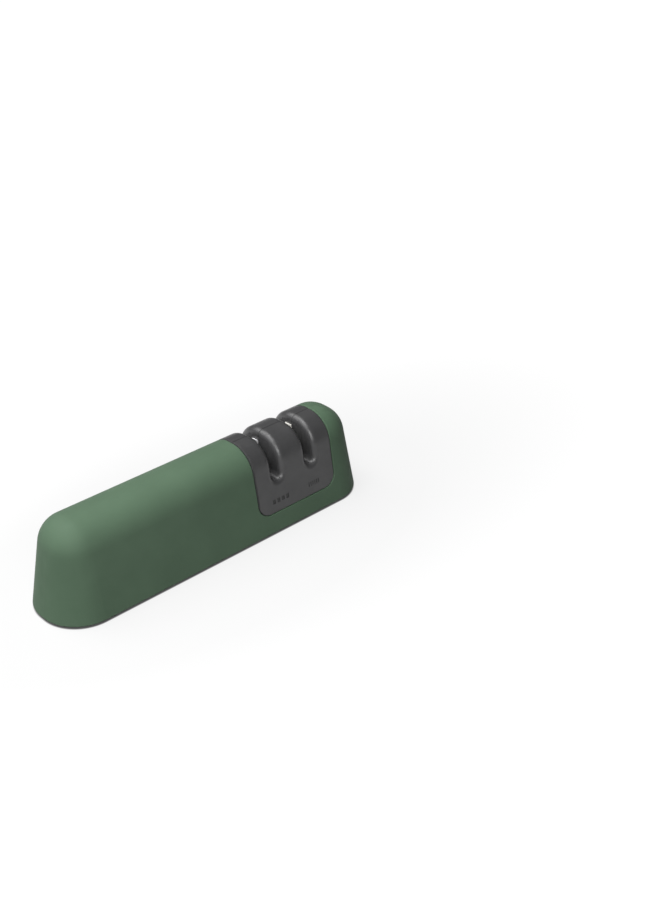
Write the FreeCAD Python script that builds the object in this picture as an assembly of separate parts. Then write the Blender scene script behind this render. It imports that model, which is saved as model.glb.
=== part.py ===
import FreeCAD, Part
import math
import os

from FreeCAD import Vector

# Pull through knife sharpener, in millimetres and degrees.
# X runs along the body towards the sharpening head, -Y is the front and Z is up.
# The origin is on the table, under the middle of the body.
# Heights are above the casing's rim, and depths below its crest.

# Casing: a long loaf that leans in from its rim and rolls over at the crest
body_length = 160.0
body_width = 37.5
body_height = 39.1
base_corner_radius = 17.35
crest_radius = 12.5
corner_limit_share = 0.93
shell_wall = 2.2
rim_edge_radius = 0.5

# Recess across the casing that takes the head
recess_length = 43.0
recess_end_distance = 41.4
recess_floor_height = 8.4
recess_draft = 0.5
recess_corner_radius = 6.0
recess_wall = 2.0
recess_edge_radius = 0.4

# Base plate and the posts that it is screwed to
plate_thickness = 2.4
plate_gap = 0.25
post_radius = 3.0
handle_post_count = 3
post_end_distance = 18.0
post_recess_distance = 7.5

# Rubber grip strips under the base plate
foot_height = 0.8
strip_length = 118.0
strip_width = 6.5
strip_spread = 16.0
strip_inlay = 1.0
strip_gap = 0.1
tread_pitch = 4.0
tread_width = 0.8
tread_depth = 0.3

# Head shells
head_gap = 0.3
head_wall = 2.0
head_edge_radius = 0.4
seam_gap = 0.2
tongue_thickness = 0.8
tongue_height = 14.0
tongue_root = 2.0
tongue_reach = 1.2
tongue_gap = 0.1

# Knife slots
slot_pitch = 18.9
slot_width = 4.4
slot_depth = 17.0
slot_lip_radius = 2.8
slot_wall = 1.6

# Stage marks: a few broad bars for coarse and many thin ones for fine
mark_height = 13.7
mark_size = 2.0
mark_depth = 0.25
coarse_bar_count = 4
coarse_bar_width = 1.5
coarse_bar_pitch = 2.5
fine_bar_count = 6
fine_bar_width = 0.5
fine_bar_pitch = 1.1

# Holders of the rods, each split along the middle of the body
holder_length = 15.2
holder_depth = 12.0
holder_inlay = 0.4
holder_gap = 0.1

# Crossed rods: diamond coated ones clamped for coarse, and ceramic ones free to turn for fine
rod_lean = 20.0
rod_cover = 1.1
edge_depth = 7.9
rod_radius = 2.0
rod_length = 16.0
rod_edge_radius = 0.3
rod_centre_gap = 0.3
rod_clamp_gap = 0.05
rod_running_gap = 0.06
rod_end_gap = 0.15

# Screws
thread_gap = 0.05
clearance_gap = 0.2
drive_width = 0.6
drive_depth = 0.8
drive_span_share = 1.2
base_screw_radius = 1.3
base_screw_length = 11.0
base_screw_head_radius = 2.6
base_screw_head_height = 1.3
head_screw_radius = 1.1
head_screw_length = 9.5
head_screw_head_radius = 2.1
head_screw_head_height = 1.5
head_screw_spread = 22.4
head_boss_radius = 2.6
head_boss_height = 10.0
holder_screw_radius = 1.0
holder_screw_length = 10.0
holder_screw_head_radius = 1.6
holder_screw_head_height = 1.3
holder_screw_spread = 10.6

# Reach of a cut past the face that it opens, and the distance at which two surfaces meet
overrun = 5.0
touch_distance = 0.001
probe_shares = (0.2, 0.5, 0.8)

# Sizes that follow from the driving dimensions
corner_radius = min(base_corner_radius, body_width / 2 * corner_limit_share)
spine_length = body_length - 2 * corner_radius
spine_width = body_width - 2 * corner_radius
crest_centre = foot_height + body_height - crest_radius
crest_rise = body_height - crest_radius
side_lean = (math.atan2(corner_radius, crest_rise)
             - math.asin(crest_radius / math.hypot(corner_radius, crest_rise)))
crest_level = foot_height + body_height
plate_top = foot_height + plate_thickness
head_x = body_length / 2 - recess_end_distance
recess_floor = foot_height + recess_floor_height
recess_tan = math.tan(math.radians(recess_draft))
recess_cos = math.cos(math.radians(recess_draft))
slot_floor = crest_level - slot_depth
coarse_x = head_x - slot_pitch / 2
fine_x = head_x + slot_pitch / 2
edge_level = crest_level - edge_depth
holder_floor = recess_floor + head_gap + head_wall - holder_inlay
roof_reach = holder_depth / 2 - spine_width / 2
holder_top = crest_centre + math.sqrt((crest_radius - head_wall) ** 2 - roof_reach ** 2) - holder_gap
lean = math.radians(rod_lean)
rod_level = edge_level - rod_radius / math.sin(lean)
rod_reach = (holder_top - rod_cover - rod_radius * math.sin(lean) - rod_level) / math.cos(lean)


def single(shape):
    """The one solid that a cut or a join leaves."""
    if len(shape.Solids) != 1:
        raise ValueError("expected one solid, found %d" % len(shape.Solids))
    return shape.Solids[0]


def block(low, high):
    """Box between two corners."""
    return Part.makeBox(high.x - low.x, high.y - low.y, high.z - low.z, low)


def skin_radius(level, inset):
    """Distance of the leaning skin from the spine, at a level, a given depth inside the surface."""
    return (corner_radius - inset / math.cos(side_lean)
            - (level - foot_height) * math.tan(side_lean))


def skin_profile(inset, bottom):
    """Half section of the loaf beside its spine: a leaning side that runs into the crest's arc."""
    radius = crest_radius - inset
    middle = (side_lean + math.pi / 2) / 2
    axis_foot = Vector(0, 0, bottom)
    foot = Vector(skin_radius(bottom, inset), 0, bottom)
    shoulder = Vector(radius * math.cos(side_lean), 0, crest_centre + radius * math.sin(side_lean))
    haunch = Vector(radius * math.cos(middle), 0, crest_centre + radius * math.sin(middle))
    crown = Vector(0, 0, crest_centre + radius)
    edges = [
        Part.LineSegment(axis_foot, foot).toShape(),
        Part.LineSegment(foot, shoulder).toShape(),
        Part.Arc(shoulder, haunch, crown).toShape(),
        Part.LineSegment(crown, axis_foot).toShape(),
    ]
    return Part.Face(Part.Wire(edges))


def loaf(inset, bottom):
    """The casing's outer form, or one a given depth inside it, cut off level at the bottom."""
    half_length = spine_length / 2
    half_width = spine_width / 2
    profile = skin_profile(inset, bottom)
    quarter = profile.revolve(Vector(0, 0, 0), Vector(0, 0, 1), 90)
    side = profile.rotated(Vector(0, 0, 0), Vector(0, 0, 1), 90)
    side = side.translated(Vector(-half_length, half_width, 0)).extrude(Vector(spine_length, 0, 0))
    end = profile.translated(Vector(half_length, -half_width, 0)).extrude(Vector(0, spine_width, 0))
    core = block(Vector(-half_length, -half_width, bottom),
                 Vector(half_length, half_width, crest_level - inset))
    pieces = [side, end]
    for turn, x_sign, y_sign in ((0, 1, 1), (90, -1, 1), (180, -1, -1), (270, 1, -1)):
        corner = quarter.rotated(Vector(0, 0, 0), Vector(0, 0, 1), turn)
        pieces.append(corner.translated(Vector(x_sign * half_length, y_sign * half_width, 0)))
    for piece in (side, end):
        pieces.append(piece.rotated(Vector(0, 0, 0), Vector(0, 0, 1), 180))
    return single(core.multiFuse(pieces).removeSplitter())


def recess_prism(margin):
    """The recess across the body, grown by a margin, open at the top and past both sides."""
    floor = recess_floor - margin
    top = crest_level + overrun
    foot = recess_length / 2 + margin / recess_cos - margin * recess_tan
    head = foot + (top - floor) * recess_tan
    side = body_width / 2 + overrun
    corners = [Vector(head_x + x, -side, z)
               for x, z in ((-foot, floor), (foot, floor), (head, top), (-head, top), (-foot, floor))]
    prism = Part.Face(Part.makePolygon(corners)).extrude(Vector(0, 2 * side, 0))
    floor_edges = [edge for edge in prism.Edges
                   if abs(edge.BoundBox.ZMax - floor) < touch_distance
                   and edge.BoundBox.XLength < touch_distance]
    return single(prism.makeFillet(recess_corner_radius + margin, floor_edges))


def slot_prism(x, margin):
    """A knife slot with a round floor, grown by a margin, open at the top and past both sides."""
    radius = slot_width / 2 + margin
    centre = slot_floor + slot_width / 2
    top = crest_level + overrun
    side = body_width / 2 + overrun
    low_left = Vector(x - radius, -side, centre)
    low_right = Vector(x + radius, -side, centre)
    high_left = Vector(x - radius, -side, top)
    high_right = Vector(x + radius, -side, top)
    edges = [
        Part.Arc(low_left, Vector(x, -side, centre - radius), low_right).toShape(),
        Part.LineSegment(low_right, high_right).toShape(),
        Part.LineSegment(high_right, high_left).toShape(),
        Part.LineSegment(high_left, low_left).toShape(),
    ]
    return Part.Face(Part.Wire(edges)).extrude(Vector(0, 2 * side, 0))


def lies_on(point, shape):
    """Whether a point is on the surface of a solid."""
    return Part.Vertex(point).distToShape(shape.Shells[0])[0] < touch_distance


def edges_on(shape, first, second):
    """Edges of a solid that lie on the surfaces of two others."""
    found = []
    for edge in shape.Edges:
        span = edge.LastParameter - edge.FirstParameter
        points = [edge.valueAt(edge.FirstParameter + share * span) for share in probe_shares]
        if all(lies_on(point, first) and lies_on(point, second) for point in points):
            found.append(edge)
    return found


def drive_cross(head_radius):
    """Cross recess for a screwdriver, rising from the origin."""
    span = head_radius * drive_span_share
    bar = block(Vector(-span / 2, -drive_width / 2, -overrun), Vector(span / 2, drive_width / 2, drive_depth))
    return bar.fuse(bar.rotated(Vector(0, 0, 0), Vector(0, 0, 1), 90))


def screw(radius, length, head_radius, head_height, countersunk):
    """Screw that points up, with the outer face of its head at the origin and a pointed tip."""
    shank = Part.makeCylinder(radius, length - radius)
    tip = Part.makeCone(radius, radius / 2, radius, Vector(0, 0, length - radius))
    if countersunk:
        head = Part.makeCone(head_radius, radius, head_height)
    else:
        head = Part.makeCylinder(head_radius, head_height)
    return single(shank.multiFuse([tip, head]).removeSplitter().cut(drive_cross(head_radius)))


def base_screw_places():
    """Where the base plate's screws stand, along the middle of the casing."""
    first = -body_length / 2 + post_end_distance
    last = head_x - recess_length / 2 - recess_wall - post_recess_distance
    step = (last - first) / (handle_post_count - 1)
    nose = (head_x + recess_length / 2 + recess_wall + body_length / 2 - shell_wall) / 2
    return [first + index * step for index in range(handle_post_count)] + [nose]


def head_screw_places():
    """Where the head's screws stand, one in each half, between the slots."""
    return [(head_x, y) for y in (-head_screw_spread / 2, head_screw_spread / 2)]


def make_body_shell():
    """Hollow casing, open below, with the trough for the head and the posts for the base plate."""
    skin = loaf(0, foot_height)
    recess = recess_prism(0)
    shell = skin.cut(loaf(shell_wall, foot_height - overrun))
    backing = loaf(shell_wall / 2, foot_height)
    ribs = [recess_prism(recess_wall).common(backing)]
    for x in base_screw_places():
        post = Part.makeCylinder(post_radius, body_height, Vector(x, 0, plate_top))
        ribs.append(post.common(backing))
    shell = single(shell.multiFuse(ribs).cut(recess))
    shell = shell.makeFillet(recess_edge_radius, edges_on(shell, recess, skin))
    rim = [edge for edge in shell.Edges
           if edge.BoundBox.ZMax < foot_height + touch_distance
           and lies_on(edge.valueAt(edge.FirstParameter), skin)]
    shell = shell.makeFillet(rim_edge_radius, rim)
    holes = []
    depth = base_screw_length + thread_gap
    for x in base_screw_places():
        holes.append(Part.makeCylinder(base_screw_radius + thread_gap, depth, Vector(x, 0, foot_height)))
    for x, y in head_screw_places():
        low = Vector(x, y, recess_floor - recess_wall - overrun)
        holes.append(Part.makeCylinder(head_screw_radius + clearance_gap, recess_wall + 2 * overrun, low))
    return single(shell.cut(Part.makeCompound(holes)))


def strip_outline(margin, bottom, height, y):
    """Long strip with round ends."""
    radius = strip_width / 2 + margin
    half = strip_length / 2 - strip_width / 2
    bar = block(Vector(-half, y - radius, bottom), Vector(half, y + radius, bottom + height))
    ends = [Part.makeCylinder(radius, height, Vector(x, y, bottom)) for x in (-half, half)]
    return single(bar.multiFuse(ends).removeSplitter())


def make_base_plate():
    """Plate that closes the casing, with countersunk holes and two inlays for the grip strips."""
    slab = block(Vector(-body_length, -body_width, foot_height), Vector(body_length, body_width, plate_top))
    plate = loaf(shell_wall + plate_gap, foot_height - overrun).common(slab)
    cuts = []
    for y in (-strip_spread / 2, strip_spread / 2):
        cuts.append(strip_outline(strip_gap, foot_height - overrun, overrun + strip_inlay, y))
    for x in base_screw_places():
        foot = Vector(x, 0, foot_height)
        cuts.append(Part.makeCylinder(base_screw_radius + clearance_gap, plate_thickness + overrun, foot))
        cuts.append(Part.makeCone(base_screw_head_radius + thread_gap, base_screw_radius + thread_gap,
                                  base_screw_head_height, foot))
    return single(plate.cut(Part.makeCompound(cuts)))


def make_grip_strip(y):
    """Rubber strip that stands proud of the base plate, with cross grooves in its tread."""
    strip = strip_outline(0, 0, foot_height + strip_inlay, y)
    count = int((strip_length - 2 * strip_width) / tread_pitch)
    grooves = []
    for index in range(count + 1):
        x = (index - count / 2) * tread_pitch
        low = Vector(x - tread_width / 2, y - strip_width, -overrun)
        grooves.append(block(low, Vector(x + tread_width / 2, y + strip_width, tread_depth)))
    return single(strip.cut(Part.makeCompound(grooves)))


def holder_space(x, margin):
    """The room that a holder takes up, grown by a margin but for its floor."""
    half_length = holder_length / 2 + margin
    half_depth = holder_depth / 2 + margin
    return block(Vector(x - half_length, -half_depth, holder_floor),
                 Vector(x + half_length, half_depth, holder_top + margin))


def head_tongue(side, margin):
    """Tongue in an end wall that joins the two halves of the head, grown by a margin."""
    level = (recess_floor + crest_level) / 2
    wall = recess_length / 2 + (level - recess_floor) * recess_tan - (head_gap + head_wall / 2) / recess_cos
    x = head_x + side * wall
    half = tongue_thickness / 2 + margin
    rise = tongue_height / 2 + margin
    return block(Vector(x - half, -tongue_root, level - rise),
                 Vector(x + half, seam_gap / 2 + tongue_reach + margin, level + rise))


def stage_bars(x, count, width, pitch):
    """Row of bars sunk square into the leaning front face of the head."""
    level = foot_height + mark_height
    face = spine_width / 2 + skin_radius(level, 0)
    bars = []
    for index in range(count):
        centre = (index - (count - 1) / 2) * pitch
        low = Vector(centre - width / 2, -overrun, -mark_size / 2)
        bar = block(low, Vector(centre + width / 2, mark_depth, mark_size / 2))
        bar = bar.rotated(Vector(0, 0, 0), Vector(1, 0, 0), -math.degrees(side_lean))
        bars.append(bar.translated(Vector(x, -face, level)))
    return bars


def make_head_shells():
    """The two halves of the head: a hollow saddle in the recess, flush with the casing."""
    skin = loaf(0, foot_height)
    envelope = recess_prism(-head_gap)
    saddle = single(skin.common(envelope))
    slots = [slot_prism(x, 0) for x in (coarse_x, fine_x)]
    saddle = single(saddle.cut(Part.makeCompound(slots)))
    for slot in slots:
        saddle = saddle.makeFillet(slot_lip_radius, edges_on(saddle, slot, skin))
    saddle = saddle.makeFillet(head_edge_radius, edges_on(saddle, envelope, skin))
    hollow = loaf(head_wall, foot_height).common(recess_prism(-head_gap - head_wall))
    hollow = hollow.cut(Part.makeCompound([slot_prism(x, slot_wall) for x in (coarse_x, fine_x)]))
    shell = saddle.cut(hollow)
    bosses = []
    bores = [holder_space(x, holder_gap) for x in (coarse_x, fine_x)]
    for x, y in head_screw_places():
        foot = Vector(x, y, recess_floor)
        bosses.append(Part.makeCylinder(head_boss_radius, head_boss_height, foot))
        bores.append(Part.makeCylinder(head_screw_radius + thread_gap,
                                       head_screw_length - recess_wall + thread_gap, foot))
    bores += stage_bars(coarse_x, coarse_bar_count, coarse_bar_width, coarse_bar_pitch)
    bores += stage_bars(fine_x, fine_bar_count, fine_bar_width, fine_bar_pitch)
    shell = shell.multiFuse(bosses)
    for bore in bores:
        shell = shell.cut(bore)
    reach = body_length
    front_half = block(Vector(-reach, -reach, 0), Vector(reach, -seam_gap / 2, reach))
    rear_half = block(Vector(-reach, seam_gap / 2, 0), Vector(reach, reach, reach))
    front = shell.common(front_half).multiFuse([head_tongue(side, 0) for side in (-1, 1)])
    rear = shell.common(rear_half).cut(Part.makeCompound([head_tongue(side, tongue_gap) for side in (-1, 1)]))
    return single(front), single(rear)


def lean_into_place(shape, x, side):
    """Lean an upright rod outwards at its top and set it where its axis crosses the slot."""
    leaning = shape.rotated(Vector(0, 0, 0), Vector(0, 1, 0), side * rod_lean)
    return leaning.translated(Vector(x, side * (rod_radius + rod_centre_gap), rod_level))


def make_rod(x, side):
    """Rod with eased ends, whose working face meets the blade's edge at the crossing."""
    rod = Part.makeCylinder(rod_radius, rod_length, Vector(0, 0, rod_reach - rod_length))
    rims = [edge for edge in rod.Edges if edge.BoundBox.ZLength < touch_distance]
    return single(lean_into_place(rod.makeFillet(rod_edge_radius, rims), x, side))


def rod_socket(x, gap):
    """Socket for the left rod in the front half of a holder, open towards the rear half."""
    top = rod_reach + rod_end_gap
    length = rod_length + 2 * rod_end_gap
    radius = rod_radius + gap
    bore = Part.makeCylinder(radius, length, Vector(0, 0, top - length))
    mouth = block(Vector(-radius, 0, top - length), Vector(radius, rod_radius + rod_centre_gap, top))
    return lean_into_place(bore.fuse(mouth), x, -1)


def holder_screw_places(x):
    """Where a holder's two screws run from front to rear, either side of its slot."""
    return [x + side * holder_screw_spread / 2 for side in (-1, 1)]


def make_holder(x, gap):
    """The front and rear halves of a holder, alike but for their screw holes, with a gap round the rods."""
    half = holder_space(x, 0).common(block(Vector(x - holder_length, -holder_depth, 0),
                                           Vector(x + holder_length, 0, holder_top)))
    half = half.cut(slot_prism(x, 0)).cut(rod_socket(x, gap))
    turned = half.rotated(Vector(x, 0, 0), Vector(0, 0, 1), 180)
    depth = holder_screw_length - holder_depth / 2 + thread_gap
    for place in holder_screw_places(x):
        face = Vector(place, -holder_depth / 2, rod_level)
        passage = Part.makeCylinder(holder_screw_radius + clearance_gap, holder_depth, face, Vector(0, 1, 0))
        seat = Part.makeCylinder(holder_screw_head_radius + clearance_gap, holder_screw_head_height,
                                 face, Vector(0, 1, 0))
        pilot = Part.makeCylinder(holder_screw_radius + thread_gap, depth,
                                  Vector(place, 0, rod_level), Vector(0, 1, 0))
        half = half.cut(passage.fuse(seat))
        turned = turned.cut(pilot)
    return single(half), single(turned)


def make_holder_screws(x):
    """Screws that clamp a holder's halves, with their heads sunk in the front half."""
    upright = screw(holder_screw_radius, holder_screw_length, holder_screw_head_radius,
                    holder_screw_head_height, False)
    lying = upright.rotated(Vector(0, 0, 0), Vector(1, 0, 0), -90)
    return Part.makeCompound([lying.translated(Vector(place, -holder_depth / 2, rod_level))
                              for place in holder_screw_places(x)])


def make_base_screws():
    """Countersunk screws, flush with the underside of the base plate."""
    upright = screw(base_screw_radius, base_screw_length, base_screw_head_radius,
                    base_screw_head_height, True)
    return Part.makeCompound([upright.translated(Vector(x, 0, foot_height)) for x in base_screw_places()])


def make_head_screws():
    """Screws that pull the head down, with their heads under the floor of the recess."""
    upright = screw(head_screw_radius, head_screw_length + head_screw_head_height, head_screw_head_radius,
                    head_screw_head_height, False)
    z = recess_floor - recess_wall - head_screw_head_height
    return Part.makeCompound([upright.translated(Vector(x, y, z)) for x, y in head_screw_places()])


head_front, head_rear = make_head_shells()
coarse_front, coarse_rear = make_holder(coarse_x, rod_clamp_gap)
fine_front, fine_rear = make_holder(fine_x, rod_running_gap)

nodes = {
    "body_shell": make_body_shell(),
    "base_plate": make_base_plate(),
    "base_screws": make_base_screws(),
    "grip_strip_front": make_grip_strip(-strip_spread / 2),
    "grip_strip_rear": make_grip_strip(strip_spread / 2),
    "head_front_shell": head_front,
    "head_rear_shell": head_rear,
    "head_fixing_screws": make_head_screws(),
    "coarse_holder_front": coarse_front,
    "coarse_holder_rear": coarse_rear,
    "coarse_holder_screws": make_holder_screws(coarse_x),
    "diamond_rod_left": make_rod(coarse_x, -1),
    "diamond_rod_right": make_rod(coarse_x, 1),
    "fine_holder_front": fine_front,
    "fine_holder_rear": fine_rear,
    "fine_holder_screws": make_holder_screws(fine_x),
    "ceramic_rod_left": make_rod(fine_x, -1),
    "ceramic_rod_right": make_rod(fine_x, 1),
}

os.makedirs("parts", exist_ok=True)
for name, shape in nodes.items():
    shape.exportStep("parts/%s.step" % name)
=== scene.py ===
import math

import bpy
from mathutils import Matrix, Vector


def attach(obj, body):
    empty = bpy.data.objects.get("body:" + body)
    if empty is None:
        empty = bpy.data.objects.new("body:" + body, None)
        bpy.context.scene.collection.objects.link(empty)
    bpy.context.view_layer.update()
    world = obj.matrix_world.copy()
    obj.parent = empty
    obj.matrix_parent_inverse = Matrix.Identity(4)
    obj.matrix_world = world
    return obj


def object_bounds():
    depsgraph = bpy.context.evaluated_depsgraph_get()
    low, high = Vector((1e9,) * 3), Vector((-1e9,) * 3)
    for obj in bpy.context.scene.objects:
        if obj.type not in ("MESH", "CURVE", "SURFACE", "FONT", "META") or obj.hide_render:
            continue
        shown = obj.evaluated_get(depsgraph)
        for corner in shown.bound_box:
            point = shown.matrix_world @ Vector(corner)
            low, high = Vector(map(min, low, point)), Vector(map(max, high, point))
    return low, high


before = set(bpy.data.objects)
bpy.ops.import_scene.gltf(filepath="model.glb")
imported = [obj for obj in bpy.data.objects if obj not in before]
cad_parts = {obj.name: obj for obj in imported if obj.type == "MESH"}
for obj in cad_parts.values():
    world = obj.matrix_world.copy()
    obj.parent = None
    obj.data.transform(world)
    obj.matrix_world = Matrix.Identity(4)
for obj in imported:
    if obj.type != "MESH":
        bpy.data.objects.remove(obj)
cad_low, cad_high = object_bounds()

# The casing: handle and stand in one, a long hollow loaf with a trough across it for the head.
# Injection moulded plastic under a soft matte lacquer, open below.
# Hands polish its crest a little, and its rim picks up scuffs from the table.
casing_green = (0.0690, 0.1150, 0.0730, 1.0)
casing_green_worn = (0.0770, 0.1275, 0.0810, 1.0)
casing_scuff = (0.098, 0.145, 0.100, 1.0)
casing_clouds = (45.0, 3.0, (0.35, 0.65))
casing_scuffs = (900.0, 4.0, (0.52, 0.68), 0.6, (1.0, 1.0, 0.25))
casing_roughness = (160.0, 4.0, 0.66, 0.78)
casing_grain = ((420.0, 2.0, 0.10, 0.0002), (2600.0, 3.0, 0.14, 0.00008))
casing_gloss = 0.16
casing_sheen = 0.04
casing_sheen_roughness = 0.4
crest_height = cad_high.z
crest_reach = 0.009
crest_polish = 0.07
rim_height = 0.0008
scuff_reach = 0.0016
noise_middle = (0.3, 0.7)


def new_finish(name):
    """A node material with its shader, and the piece's own coordinates to draw on."""
    finish = bpy.data.materials.new(name)
    finish.use_nodes = True
    tree = finish.node_tree
    shader = tree.nodes["Principled BSDF"]
    coords = tree.nodes.new("ShaderNodeTexCoord").outputs["Object"]
    return finish, tree, shader, coords


def cloud(tree, coords, scale, detail, stretch=(1.0, 1.0, 1.0)):
    """Noise of a scale in cycles per metre, stretched along the axes with a small factor."""
    mapping = tree.nodes.new("ShaderNodeMapping")
    mapping.inputs["Scale"].default_value = stretch
    tree.links.new(coords, mapping.inputs["Vector"])
    texture = tree.nodes.new("ShaderNodeTexNoise")
    texture.inputs["Scale"].default_value = scale
    texture.inputs["Detail"].default_value = detail
    tree.links.new(mapping.outputs["Vector"], texture.inputs["Vector"])
    return texture.outputs["Fac"]


def ranged(tree, value, from_low, from_high, to_low, to_high):
    """A value carried from one range to another and held at the ends."""
    node = tree.nodes.new("ShaderNodeMapRange")
    for socket, number in zip(("From Min", "From Max", "To Min", "To Max"),
                              (from_low, from_high, to_low, to_high)):
        node.inputs[socket].default_value = number
    tree.links.new(value, node.inputs["Value"])
    return node.outputs["Result"]


def patches(tree, coords, scale, detail, span, most=1.0, stretch=(1.0, 1.0, 1.0)):
    """The peaks of a noise as a share: nothing below the span, the most above it."""
    return ranged(tree, cloud(tree, coords, scale, detail, stretch), *span, 0.0, most)


def wandering(tree, coords, scale, detail, low, high):
    """A value that a noise moves between two ends."""
    return ranged(tree, cloud(tree, coords, scale, detail), *noise_middle, low, high)


def combined(tree, operation, first, second):
    """Two values joined by a sum, product or the like; the second may be a number."""
    node = tree.nodes.new("ShaderNodeMath")
    node.operation = operation
    tree.links.new(first, node.inputs[0])
    if isinstance(second, float):
        node.inputs[1].default_value = second
    else:
        tree.links.new(second, node.inputs[1])
    return node.outputs["Value"]


def tinted(tree, share, first, second):
    """A colour between two others; either may be a fixed colour or another node's."""
    node = tree.nodes.new("ShaderNodeMix")
    node.data_type = "RGBA"
    tree.links.new(share, node.inputs["Factor"])
    for socket, colour in ((node.inputs[6], first), (node.inputs[7], second)):
        if isinstance(colour, tuple):
            socket.default_value = colour
        else:
            tree.links.new(colour, socket)
    return node.outputs[2]


def relief(tree, shader, coords, layers):
    """Bump in layers: a noise's scale and detail, its strength, and its depth in metres."""
    normal = None
    for scale, detail, strength, depth in layers:
        node = tree.nodes.new("ShaderNodeBump")
        node.inputs["Strength"].default_value = strength
        node.inputs["Distance"].default_value = depth
        tree.links.new(cloud(tree, coords, scale, detail), node.inputs["Height"])
        if normal is not None:
            tree.links.new(normal, node.inputs["Normal"])
        normal = node.outputs["Normal"]
    tree.links.new(normal, shader.inputs["Normal"])


def along(tree, coords, axis):
    """A point's X, Y or Z as a value."""
    node = tree.nodes.new("ShaderNodeSeparateXYZ")
    tree.links.new(coords, node.inputs["Vector"])
    return node.outputs[axis]


def dress(finish, *names):
    """Give CAD nodes a finish through their material slots."""
    for name in names:
        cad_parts[name].material_slots[0].material = finish


casing_finish, tree, shader, coords = new_finish("soft_green_lacquer")
height = along(tree, coords, "Z")
lacquer = tinted(tree, patches(tree, coords, *casing_clouds), casing_green, casing_green_worn)
rim = ranged(tree, height, rim_height, rim_height + scuff_reach, 1.0, 0.0)
scuffs = combined(tree, "MULTIPLY", rim, patches(tree, coords, *casing_scuffs))
tree.links.new(tinted(tree, scuffs, lacquer, casing_scuff), shader.inputs["Base Color"])
polish = ranged(tree, height, crest_height - crest_reach, crest_height, 0.0, crest_polish)
roughness = combined(tree, "SUBTRACT", wandering(tree, coords, *casing_roughness), polish)
tree.links.new(roughness, shader.inputs["Roughness"])
shader.inputs["Specular IOR Level"].default_value = casing_gloss
shader.inputs["Sheen Weight"].default_value = casing_sheen
shader.inputs["Sheen Roughness"].default_value = casing_sheen_roughness
relief(tree, shader, coords, casing_grain)
dress(casing_finish, "body_shell")

# The base plate: closes the casing from below and carries the grip strips.
# Black moulded plastic with a coarse spark-eroded texture, held by four countersunk screws.
base_black = (0.016, 0.016, 0.017, 1.0)
base_black_rubbed = (0.034, 0.034, 0.035, 1.0)
base_rubbing = (130.0, 5.0, (0.50, 0.75))
base_roughness = (600.0, 3.0, 0.48, 0.66)
base_grain = ((1500.0, 3.0, 0.35, 0.00012),)


def plain_finish(name, colours, marks, roughness, grain, metallic=0.0):
    """A finish of two colours in patches, with a roughness that wanders and one grain."""
    finish, tree, shader, coords = new_finish(name)
    tree.links.new(tinted(tree, patches(tree, coords, *marks), *colours),
                   shader.inputs["Base Color"])
    tree.links.new(wandering(tree, coords, *roughness), shader.inputs["Roughness"])
    shader.inputs["Metallic"].default_value = metallic
    relief(tree, shader, coords, grain)
    return finish


base_finish = plain_finish("moulded_black_base", (base_black, base_black_rubbed),
                           base_rubbing, base_roughness, base_grain)
dress(base_finish, "base_plate")

# The screws: countersunk ones in the base plate, and the hidden ones of the head and the holders.
# Turned steel, zinc plated, with a cross recess, and dull in patches.
zinc = (0.52, 0.53, 0.55, 1.0)
zinc_dull = (0.36, 0.36, 0.38, 1.0)
zinc_dulling = (700.0, 4.0, (0.35, 0.7))
zinc_roughness = (1200.0, 3.0, 0.26, 0.46)
zinc_grain = ((4200.0, 2.0, 0.18, 0.00004),)

screw_finish = plain_finish("zinc_plated_steel", (zinc, zinc_dull),
                            zinc_dulling, zinc_roughness, zinc_grain, metallic=1.0)
dress(screw_finish, "base_screws", "head_fixing_screws",
      "coarse_holder_screws", "fine_holder_screws")

# The grip strips: two soft rubber strips in the base plate that carry the whole sharpener.
# Moulded with cross grooves, glued into their inlays, and dusty where they meet the table.
rubber_black = (0.013, 0.013, 0.013, 1.0)
rubber_dusty = (0.060, 0.058, 0.055, 1.0)
rubber_dust = (500.0, 5.0, (0.45, 0.72), 0.8)
rubber_roughness = (900.0, 2.0, 0.70, 0.88)
rubber_grain = ((2200.0, 3.0, 0.30, 0.00008),)
tread_reach = 0.0004
dust_in_grooves = 0.15

rubber_finish, tree, shader, coords = new_finish("soft_black_rubber")
tread = ranged(tree, along(tree, coords, "Z"), 0.0, tread_reach, 1.0, dust_in_grooves)
dust = combined(tree, "MULTIPLY", tread, patches(tree, coords, *rubber_dust))
tree.links.new(tinted(tree, dust, rubber_black, rubber_dusty), shader.inputs["Base Color"])
tree.links.new(wandering(tree, coords, *rubber_roughness), shader.inputs["Roughness"])
relief(tree, shader, coords, rubber_grain)
dress(rubber_finish, "grip_strip_front", "grip_strip_rear")

# The head: a hollow saddle in two halves that meet along the middle, flush with the casing.
# Dark grey moulded plastic with a fine satin texture, matt at its borders beside the casing,
# where a painted shade also darkens the colour to mute the edges' highlight.
# Use has polished the slots' lips and left hairlines on them.
head_grey = (0.038, 0.038, 0.039, 1.0)
head_grey_light = (0.047, 0.047, 0.048, 1.0)
hairline_grey = (0.105, 0.105, 0.107, 1.0)
# Painted shade: the head's borders beside the casing are darkened toward this grey.
border_painted_shade_grey = (0.030, 0.030, 0.031, 1.0)
head_clouds = (90.0, 3.0, (0.35, 0.65))
head_hairlines = (5200.0, 2.0, (0.62, 0.74), 0.14, (1.0, 0.03, 1.0))
head_roughness = (420.0, 4.0, 0.36, 0.46)
head_grain = ((3400.0, 3.0, 0.10, 0.00006), (900.0, 2.0, 0.03, 0.0001))
slot_places = (0.02915, 0.04805)
lip_reach = (0.00297, 0.0054)
lip_levels = (0.0205, 0.0245)
lip_polish = 0.08
head_middle = 0.0386
border_reach = (0.0206, 0.0211)
border_roughness = 0.45


def away_from(tree, value, place):
    """How far a value lies from a place, to either side."""
    return combined(tree, "ABSOLUTE", combined(tree, "SUBTRACT", value, place), 0.0)


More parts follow.
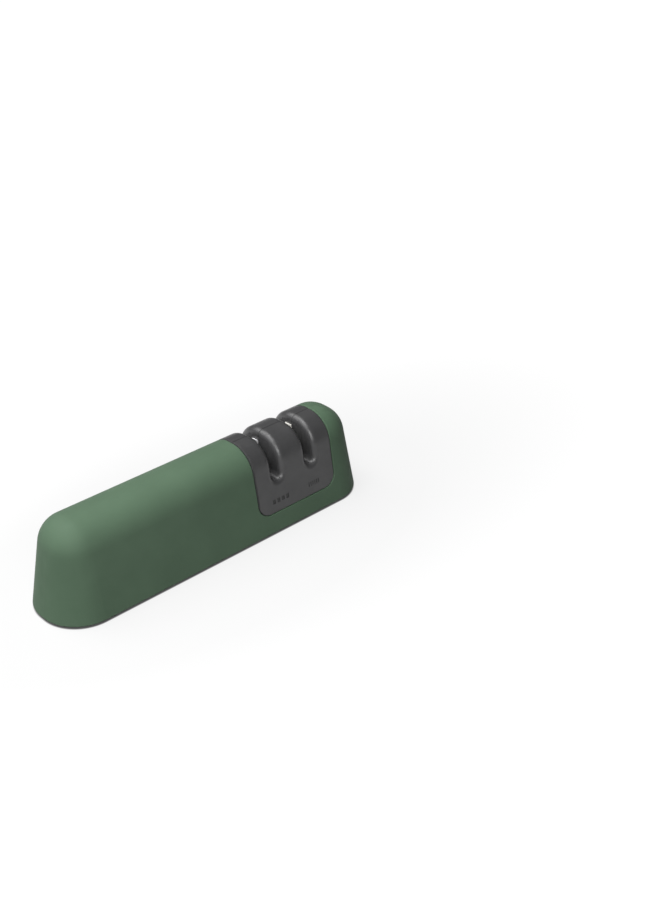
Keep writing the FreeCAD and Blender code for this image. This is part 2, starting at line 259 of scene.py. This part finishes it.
head_finish, tree, shader, coords = new_finish("satin_grey_plastic")
length = along(tree, coords, "X")
satin = tinted(tree, patches(tree, coords, *head_clouds), head_grey, head_grey_light)
coarse_lip, fine_lip = (ranged(tree, away_from(tree, length, place), *lip_reach, 1.0, 0.0)
                        for place in slot_places)
above_floors = ranged(tree, along(tree, coords, "Z"), *lip_levels, 0.0, 1.0)
lips = combined(tree, "MULTIPLY", combined(tree, "MAXIMUM", coarse_lip, fine_lip), above_floors)
hairlines = combined(tree, "MULTIPLY", lips, patches(tree, coords, *head_hairlines))
# The borders beside the casing: rougher, and painted darker as shade that mutes their edge
# highlight.
matt_and_shaded_borders = ranged(tree, away_from(tree, length, head_middle), *border_reach, 0.0, 1.0)
worn = tinted(tree, hairlines, satin, hairline_grey)
tree.links.new(tinted(tree, matt_and_shaded_borders, worn, border_painted_shade_grey), shader.inputs["Base Color"])
polished = combined(tree, "SUBTRACT", wandering(tree, coords, *head_roughness),
                    combined(tree, "MULTIPLY", lips, lip_polish))
matted = combined(tree, "MULTIPLY", matt_and_shaded_borders, border_roughness)
tree.links.new(combined(tree, "ADD", polished, matted), shader.inputs["Roughness"])
relief(tree, shader, coords, head_grain)
dress(head_finish, "head_front_shell", "head_rear_shell")

# The stage marks: a few broad bars under the coarse slot and many thin ones under the fine slot.
# Black ink wiped into bars that are engraved in the head's front half.
# Each fill lies a little below the head's surface and is slightly hollow.
ink_black = (0.010, 0.010, 0.010, 1.0)
ink_worn = (0.020, 0.020, 0.020, 1.0)
ink_wear = (1800.0, 4.0, (0.4, 0.7))
ink_roughness = (2400.0, 2.0, 0.45, 0.62)
ink_grain = ((3800.0, 2.0, 0.15, 0.00004),)
ink_floor = 0.00025
ink_thickness = 0.00012
ink_margin = 0.00004
ink_hollow = 0.00004
ink_steps = 7
mark_height = 0.0020
mark_level = 0.0145
mark_face = -0.016350
face_lean = math.radians(9.936)
coarse_bars, coarse_bar_width, coarse_bar_pitch = 4, 0.0015, 0.0025
fine_bars, fine_bar_width, fine_bar_pitch = 6, 0.0005, 0.0011
mark_rows = (
    ("coarse_stage_ink", slot_places[0], coarse_bars, coarse_bar_width, coarse_bar_pitch),
    ("fine_stage_ink", slot_places[1], fine_bars, fine_bar_width, fine_bar_pitch),
)

ink_finish = plain_finish("wiped_black_ink", (ink_black, ink_worn),
                          ink_wear, ink_roughness, ink_grain)


def ink_row_tree():
    """Geometry Nodes for a row of ink fills: one hollowed slab, repeated at a pitch."""
    tree = bpy.data.node_groups.new("ink_row", "GeometryNodeTree")
    sockets = {}
    for name, kind in (("Bars", "NodeSocketInt"), ("Bar width", "NodeSocketFloat"),
                       ("Bar height", "NodeSocketFloat"), ("Thickness", "NodeSocketFloat"),
                       ("Pitch", "NodeSocketFloat"), ("Hollow", "NodeSocketFloat"),
                       ("Place", "NodeSocketVector"), ("Turn", "NodeSocketVector"),
                       ("Ink", "NodeSocketMaterial")):
        socket = tree.interface.new_socket(name=name, in_out="INPUT", socket_type=kind)
        sockets[name] = socket.identifier
    tree.interface.new_socket(name="Geometry", in_out="OUTPUT", socket_type="NodeSocketGeometry")
    given = tree.nodes.new("NodeGroupInput").outputs

    def node(kind, links, **settings):
        made = tree.nodes.new(kind)
        for key, value in settings.items():
            setattr(made, key, value)
        for socket, source in links.items():
            if isinstance(source, bpy.types.NodeSocket):
                tree.links.new(source, made.inputs[socket])
            else:
                made.inputs[socket].default_value = source
        return made.outputs

    def reckoned(operation, *values):
        return node("ShaderNodeMath", dict(enumerate(values)), operation=operation)[0]

    size = node("ShaderNodeCombineXYZ", {"X": given["Bar width"], "Y": given["Thickness"],
                                         "Z": given["Bar height"]})[0]
    slab = node("GeometryNodeMeshCube", {"Size": size, "Vertices X": ink_steps,
                                         "Vertices Y": 2, "Vertices Z": ink_steps})["Mesh"]
    point = node("ShaderNodeSeparateXYZ", {0: node("GeometryNodeInputPosition", {})[0]})
    falls = []  # 1 - 4 s * s across and along a bar: 1 at its middle, 0 at its edges
    for place, extent in ((point["X"], given["Bar width"]), (point["Z"], given["Bar height"])):
        share = reckoned("DIVIDE", place, extent)
        falls.append(reckoned("MULTIPLY_ADD", reckoned("MULTIPLY", share, share), -4.0, 1.0))
    sink = reckoned("MULTIPLY", reckoned("MULTIPLY", *falls), given["Hollow"])
    outer = node("FunctionNodeCompare", {0: point["Y"], 1: 0.0}, operation="LESS_THAN")[0]
    hollowed = node("GeometryNodeSetPosition", {
        "Geometry": slab, "Selection": outer,
        "Offset": node("ShaderNodeCombineXYZ", {"Y": sink})[0]})[0]
    step = node("ShaderNodeCombineXYZ", {"X": given["Pitch"]})[0]
    half_row = reckoned("MULTIPLY_ADD", given["Bars"], -0.5, 0.5)
    start = node("ShaderNodeVectorMath", {0: step, "Scale": half_row}, operation="SCALE")[0]
    line = node("GeometryNodeMeshLine", {"Count": given["Bars"], "Start Location": start,
                                         "Offset": step})[0]
    row = node("GeometryNodeInstanceOnPoints", {"Points": line, "Instance": hollowed})[0]
    real = node("GeometryNodeRealizeInstances", {"Geometry": row})[0]
    placed = node("GeometryNodeTransform", {"Geometry": real, "Translation": given["Place"],
                                            "Rotation": given["Turn"]})[0]
    inked = node("GeometryNodeSetMaterial", {"Geometry": placed, "Material": given["Ink"]})[0]
    node("NodeGroupOutput", {0: inked})
    return tree, sockets


def plain_mesh(name, tree, values):
    """The mesh that a Geometry Nodes tree makes from its values, as an object at the origin."""
    carrier = bpy.data.objects.new(name + "_carrier", bpy.data.meshes.new(name + "_carrier"))
    bpy.context.scene.collection.objects.link(carrier)
    modifier = carrier.modifiers.new("nodes", "NODES")
    modifier.node_group = tree
    for identifier, value in values.items():
        modifier[identifier] = value
    evaluated = carrier.evaluated_get(bpy.context.evaluated_depsgraph_get())
    mesh = bpy.data.meshes.new_from_object(evaluated)
    mesh.name = name
    bpy.data.objects.remove(carrier)
    piece = bpy.data.objects.new(name, mesh)
    bpy.context.scene.collection.objects.link(piece)
    return piece


ink_tree, ink_sockets = ink_row_tree()
ink_depth = ink_floor - ink_thickness / 2
inward = Vector((0.0, math.cos(face_lean), -math.sin(face_lean)))
for name, place, bars, width, pitch in mark_rows:
    ink = plain_mesh(name, ink_tree, {
        ink_sockets["Bars"]: bars,
        ink_sockets["Bar width"]: width - 2 * ink_margin,
        ink_sockets["Bar height"]: mark_height - 2 * ink_margin,
        ink_sockets["Thickness"]: ink_thickness,
        ink_sockets["Pitch"]: pitch,
        ink_sockets["Hollow"]: ink_hollow,
        ink_sockets["Place"]: Vector((place, mark_face, mark_level)) + inward * ink_depth,
        ink_sockets["Turn"]: Vector((-face_lean, 0.0, 0.0)),
        ink_sockets["Ink"]: ink_finish,
    })
    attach(ink, "sharpener")

# The holders: two blocks, each split along the middle, that clamp the rods inside the head.
# Moulded from the head's own grey plastic, so that the slots have walls of one colour.
dress(head_finish, "coarse_holder_front", "coarse_holder_rear",
      "fine_holder_front", "fine_holder_rear")

# The coarse stage: two crossed steel rods, plated with nickel that holds a fine diamond grit.
# They are glued into the holder, and use has rubbed the grit bright.
nickel_gritty = (0.58, 0.58, 0.59, 1.0)
nickel = (0.78, 0.78, 0.79, 1.0)
diamond_grit = (5200.0, 3.0, (0.42, 0.62))
diamond_roughness = (5200.0, 3.0, 0.50, 0.36)
diamond_grain = ((5200.0, 3.0, 0.35, 0.00006),)

diamond_finish = plain_finish("diamond_grit_nickel", (nickel_gritty, nickel),
                              diamond_grit, diamond_roughness, diamond_grain, metallic=1.0)
dress(diamond_finish, "diamond_rod_left", "diamond_rod_right")

# The fine stage: two crossed ceramic rods that may turn in their sockets and so wear evenly.
# Unglazed white ceramic, with grey smears of steel about the height where the rods cross.
ceramic_white = (0.780, 0.765, 0.710, 1.0)
ceramic_smear = (0.330, 0.330, 0.335, 1.0)
ceramic_smears = (1100.0, 4.0, (0.42, 0.66), 0.7, (1.0, 1.0, 0.4))
ceramic_roughness = (1500.0, 3.0, 0.48, 0.64)
ceramic_grain = ((4500.0, 3.0, 0.20, 0.00004),)
smear_level = 0.0332
smear_reach = 0.004

ceramic_finish, tree, shader, coords = new_finish("unglazed_ceramic")
from_level = away_from(tree, along(tree, coords, "Z"), smear_level)
smears = combined(tree, "MULTIPLY", ranged(tree, from_level, 0.0, smear_reach, 1.0, 0.0),
                  patches(tree, coords, *ceramic_smears))
tree.links.new(tinted(tree, smears, ceramic_white, ceramic_smear), shader.inputs["Base Color"])
tree.links.new(wandering(tree, coords, *ceramic_roughness), shader.inputs["Roughness"])
relief(tree, shader, coords, ceramic_grain)
dress(ceramic_finish, "ceramic_rod_left", "ceramic_rod_right")

# The floor: a wide white light table, whose glow is dimmed round the casing as a painted shadow
# and nearly put out under its rim as a painted contact shadow.
# It reflects little and glows by itself, so that it stays white without lighting the casing.
# Its lower side is clear, so that the underside shows when seen from below.
floor_size = 6.0
floor_drop = 0.0001
floor_grey = (0.12, 0.12, 0.12, 1.0)
floor_grey_dark = (0.11, 0.11, 0.11, 1.0)
floor_clouds = (3.0, 2.0)
floor_roughness = 0.9
floor_spread = (0.5, 1.0, 0.0)
# Painted shadow: the floor's glow is dimmer near the casing and full further out.
painted_shadow_fade = (0.06, 0.18)
painted_shadow_glow = (0.785, 1.0)
# The casing's footprint, under which the glow nearly goes out as a painted contact shadow.
cover_spine = (0.06265, 0.0014, 0.0)
painted_contact_shadow_edge = (0.0168, 0.0175)
painted_contact_shadow_glow = 0.045
white = (1.0, 1.0, 1.0, 1.0)


def reworked(tree, operation, point, other=(0.0, 0.0, 0.0)):
    """A point changed by a vector operation, or its length as a value."""
    node = tree.nodes.new("ShaderNodeVectorMath")
    node.operation = operation
    tree.links.new(point, node.inputs[0])
    node.inputs[1].default_value = other
    return node.outputs["Value" if operation == "LENGTH" else "Vector"]


floor_mesh = bpy.data.meshes.new("floor")
floor_mesh.from_pydata([(sx * floor_size / 2, sy * floor_size / 2, -floor_drop)
                        for sx, sy in ((-1, -1), (1, -1), (1, 1), (-1, 1))], [], [(0, 1, 2, 3)])
floor = bpy.data.objects.new("floor", floor_mesh)
bpy.context.scene.collection.objects.link(floor)
glowing, tree, shader, coords = new_finish("white_light_table")
tree.links.new(tinted(tree, cloud(tree, coords, *floor_clouds), floor_grey, floor_grey_dark),
               shader.inputs["Base Color"])
shader.inputs["Roughness"].default_value = floor_roughness
shader.inputs["Specular IOR Level"].default_value = 0.0
shader.inputs["Emission Color"].default_value = white
# Painted shadow: the glow rises from dim round the casing to full further out.
from_middle = reworked(tree, "LENGTH", reworked(tree, "MULTIPLY", coords, floor_spread))
painted_shadow_spread = ranged(tree, from_middle, *painted_shadow_fade, *painted_shadow_glow)
# Painted contact shadow: the glow almost goes out under the casing's footprint.
beyond_spine = reworked(tree, "SUBTRACT", reworked(tree, "ABSOLUTE", coords), cover_spine)
from_spine = reworked(tree, "LENGTH", reworked(tree, "MAXIMUM", beyond_spine))
outside_painted_contact_shadow = ranged(tree, from_spine, *painted_contact_shadow_edge, painted_contact_shadow_glow, 1.0)
tree.links.new(combined(tree, "MULTIPLY", painted_shadow_spread, outside_painted_contact_shadow), shader.inputs["Emission Strength"])
clear = tree.nodes.new("ShaderNodeBsdfTransparent")
sides = tree.nodes.new("ShaderNodeMixShader")
side = tree.nodes.new("ShaderNodeNewGeometry").outputs["Backfacing"]
tree.links.new(side, sides.inputs["Fac"])
tree.links.new(shader.outputs["BSDF"], sides.inputs[1])
tree.links.new(clear.outputs["BSDF"], sides.inputs[2])
tree.links.new(sides.outputs["Shader"], tree.nodes["Material Output"].inputs["Surface"])
floor_mesh.materials.append(glowing)
floor.visible_diffuse = False

# The studio: a dim, even tent of white cloth, and five round softboxes that the camera can't see.
# Three small ones stand near the casing, at the left, above and at the left front.
# Two wide ones stand further off, behind it.
tent_level = 0.1
softboxes = (("near_left", (-0.335, 0.02, 0.39), 0.3, 0.74),
             ("near_top", (-0.12, 0.00, 0.50), 0.3, 1.40),
             ("front_fill", (-0.285, -0.33, 0.28), 0.3, 1.70),
             ("back_left", (-0.60, 0.80, 0.80), 0.8, 4.00),
             ("top_back", (-0.15, 0.55, 1.00), 0.8, 6.00))
aim = Vector((0.0, 0.0, 0.02))

tent = bpy.data.worlds.new("tent")
tent.use_nodes = True
tent.node_tree.nodes["Background"].inputs["Color"].default_value = white
tent.node_tree.nodes["Background"].inputs["Strength"].default_value = tent_level
bpy.context.scene.world = tent

for name, place, size, power in softboxes:
    lamp = bpy.data.lights.new(name, "AREA")
    lamp.shape = "DISK"
    lamp.size = size
    lamp.energy = power
    box = bpy.data.objects.new(name, lamp)
    box.location = place
    box.rotation_euler = (aim - Vector(place)).to_track_quat("-Z", "Y").to_euler()
    box.visible_camera = False
    bpy.context.scene.collection.objects.link(box)

# The camera: a standard lens above the casing's left front corner, looking down at it.
# Its place, turn and lens were fitted to the casing's outline.
camera_place = (-0.26987, -0.36367, 0.31175)
camera_tilt = math.radians(59.164)
camera_turn = math.radians(-43.312)
camera_focus = 51.669
camera_sensor = 36.0
camera_near = 0.01

camera_lens = bpy.data.cameras.new("camera")
camera_lens.sensor_width = camera_sensor
camera_lens.lens = camera_focus
camera_lens.clip_start = camera_near
camera = bpy.data.objects.new("camera", camera_lens)
camera.location = camera_place
camera.rotation_euler = (camera_tilt, 0.0, camera_turn)
bpy.context.scene.collection.objects.link(camera)
bpy.context.scene.camera = camera
bpy.context.scene.view_settings.view_transform = "Standard"
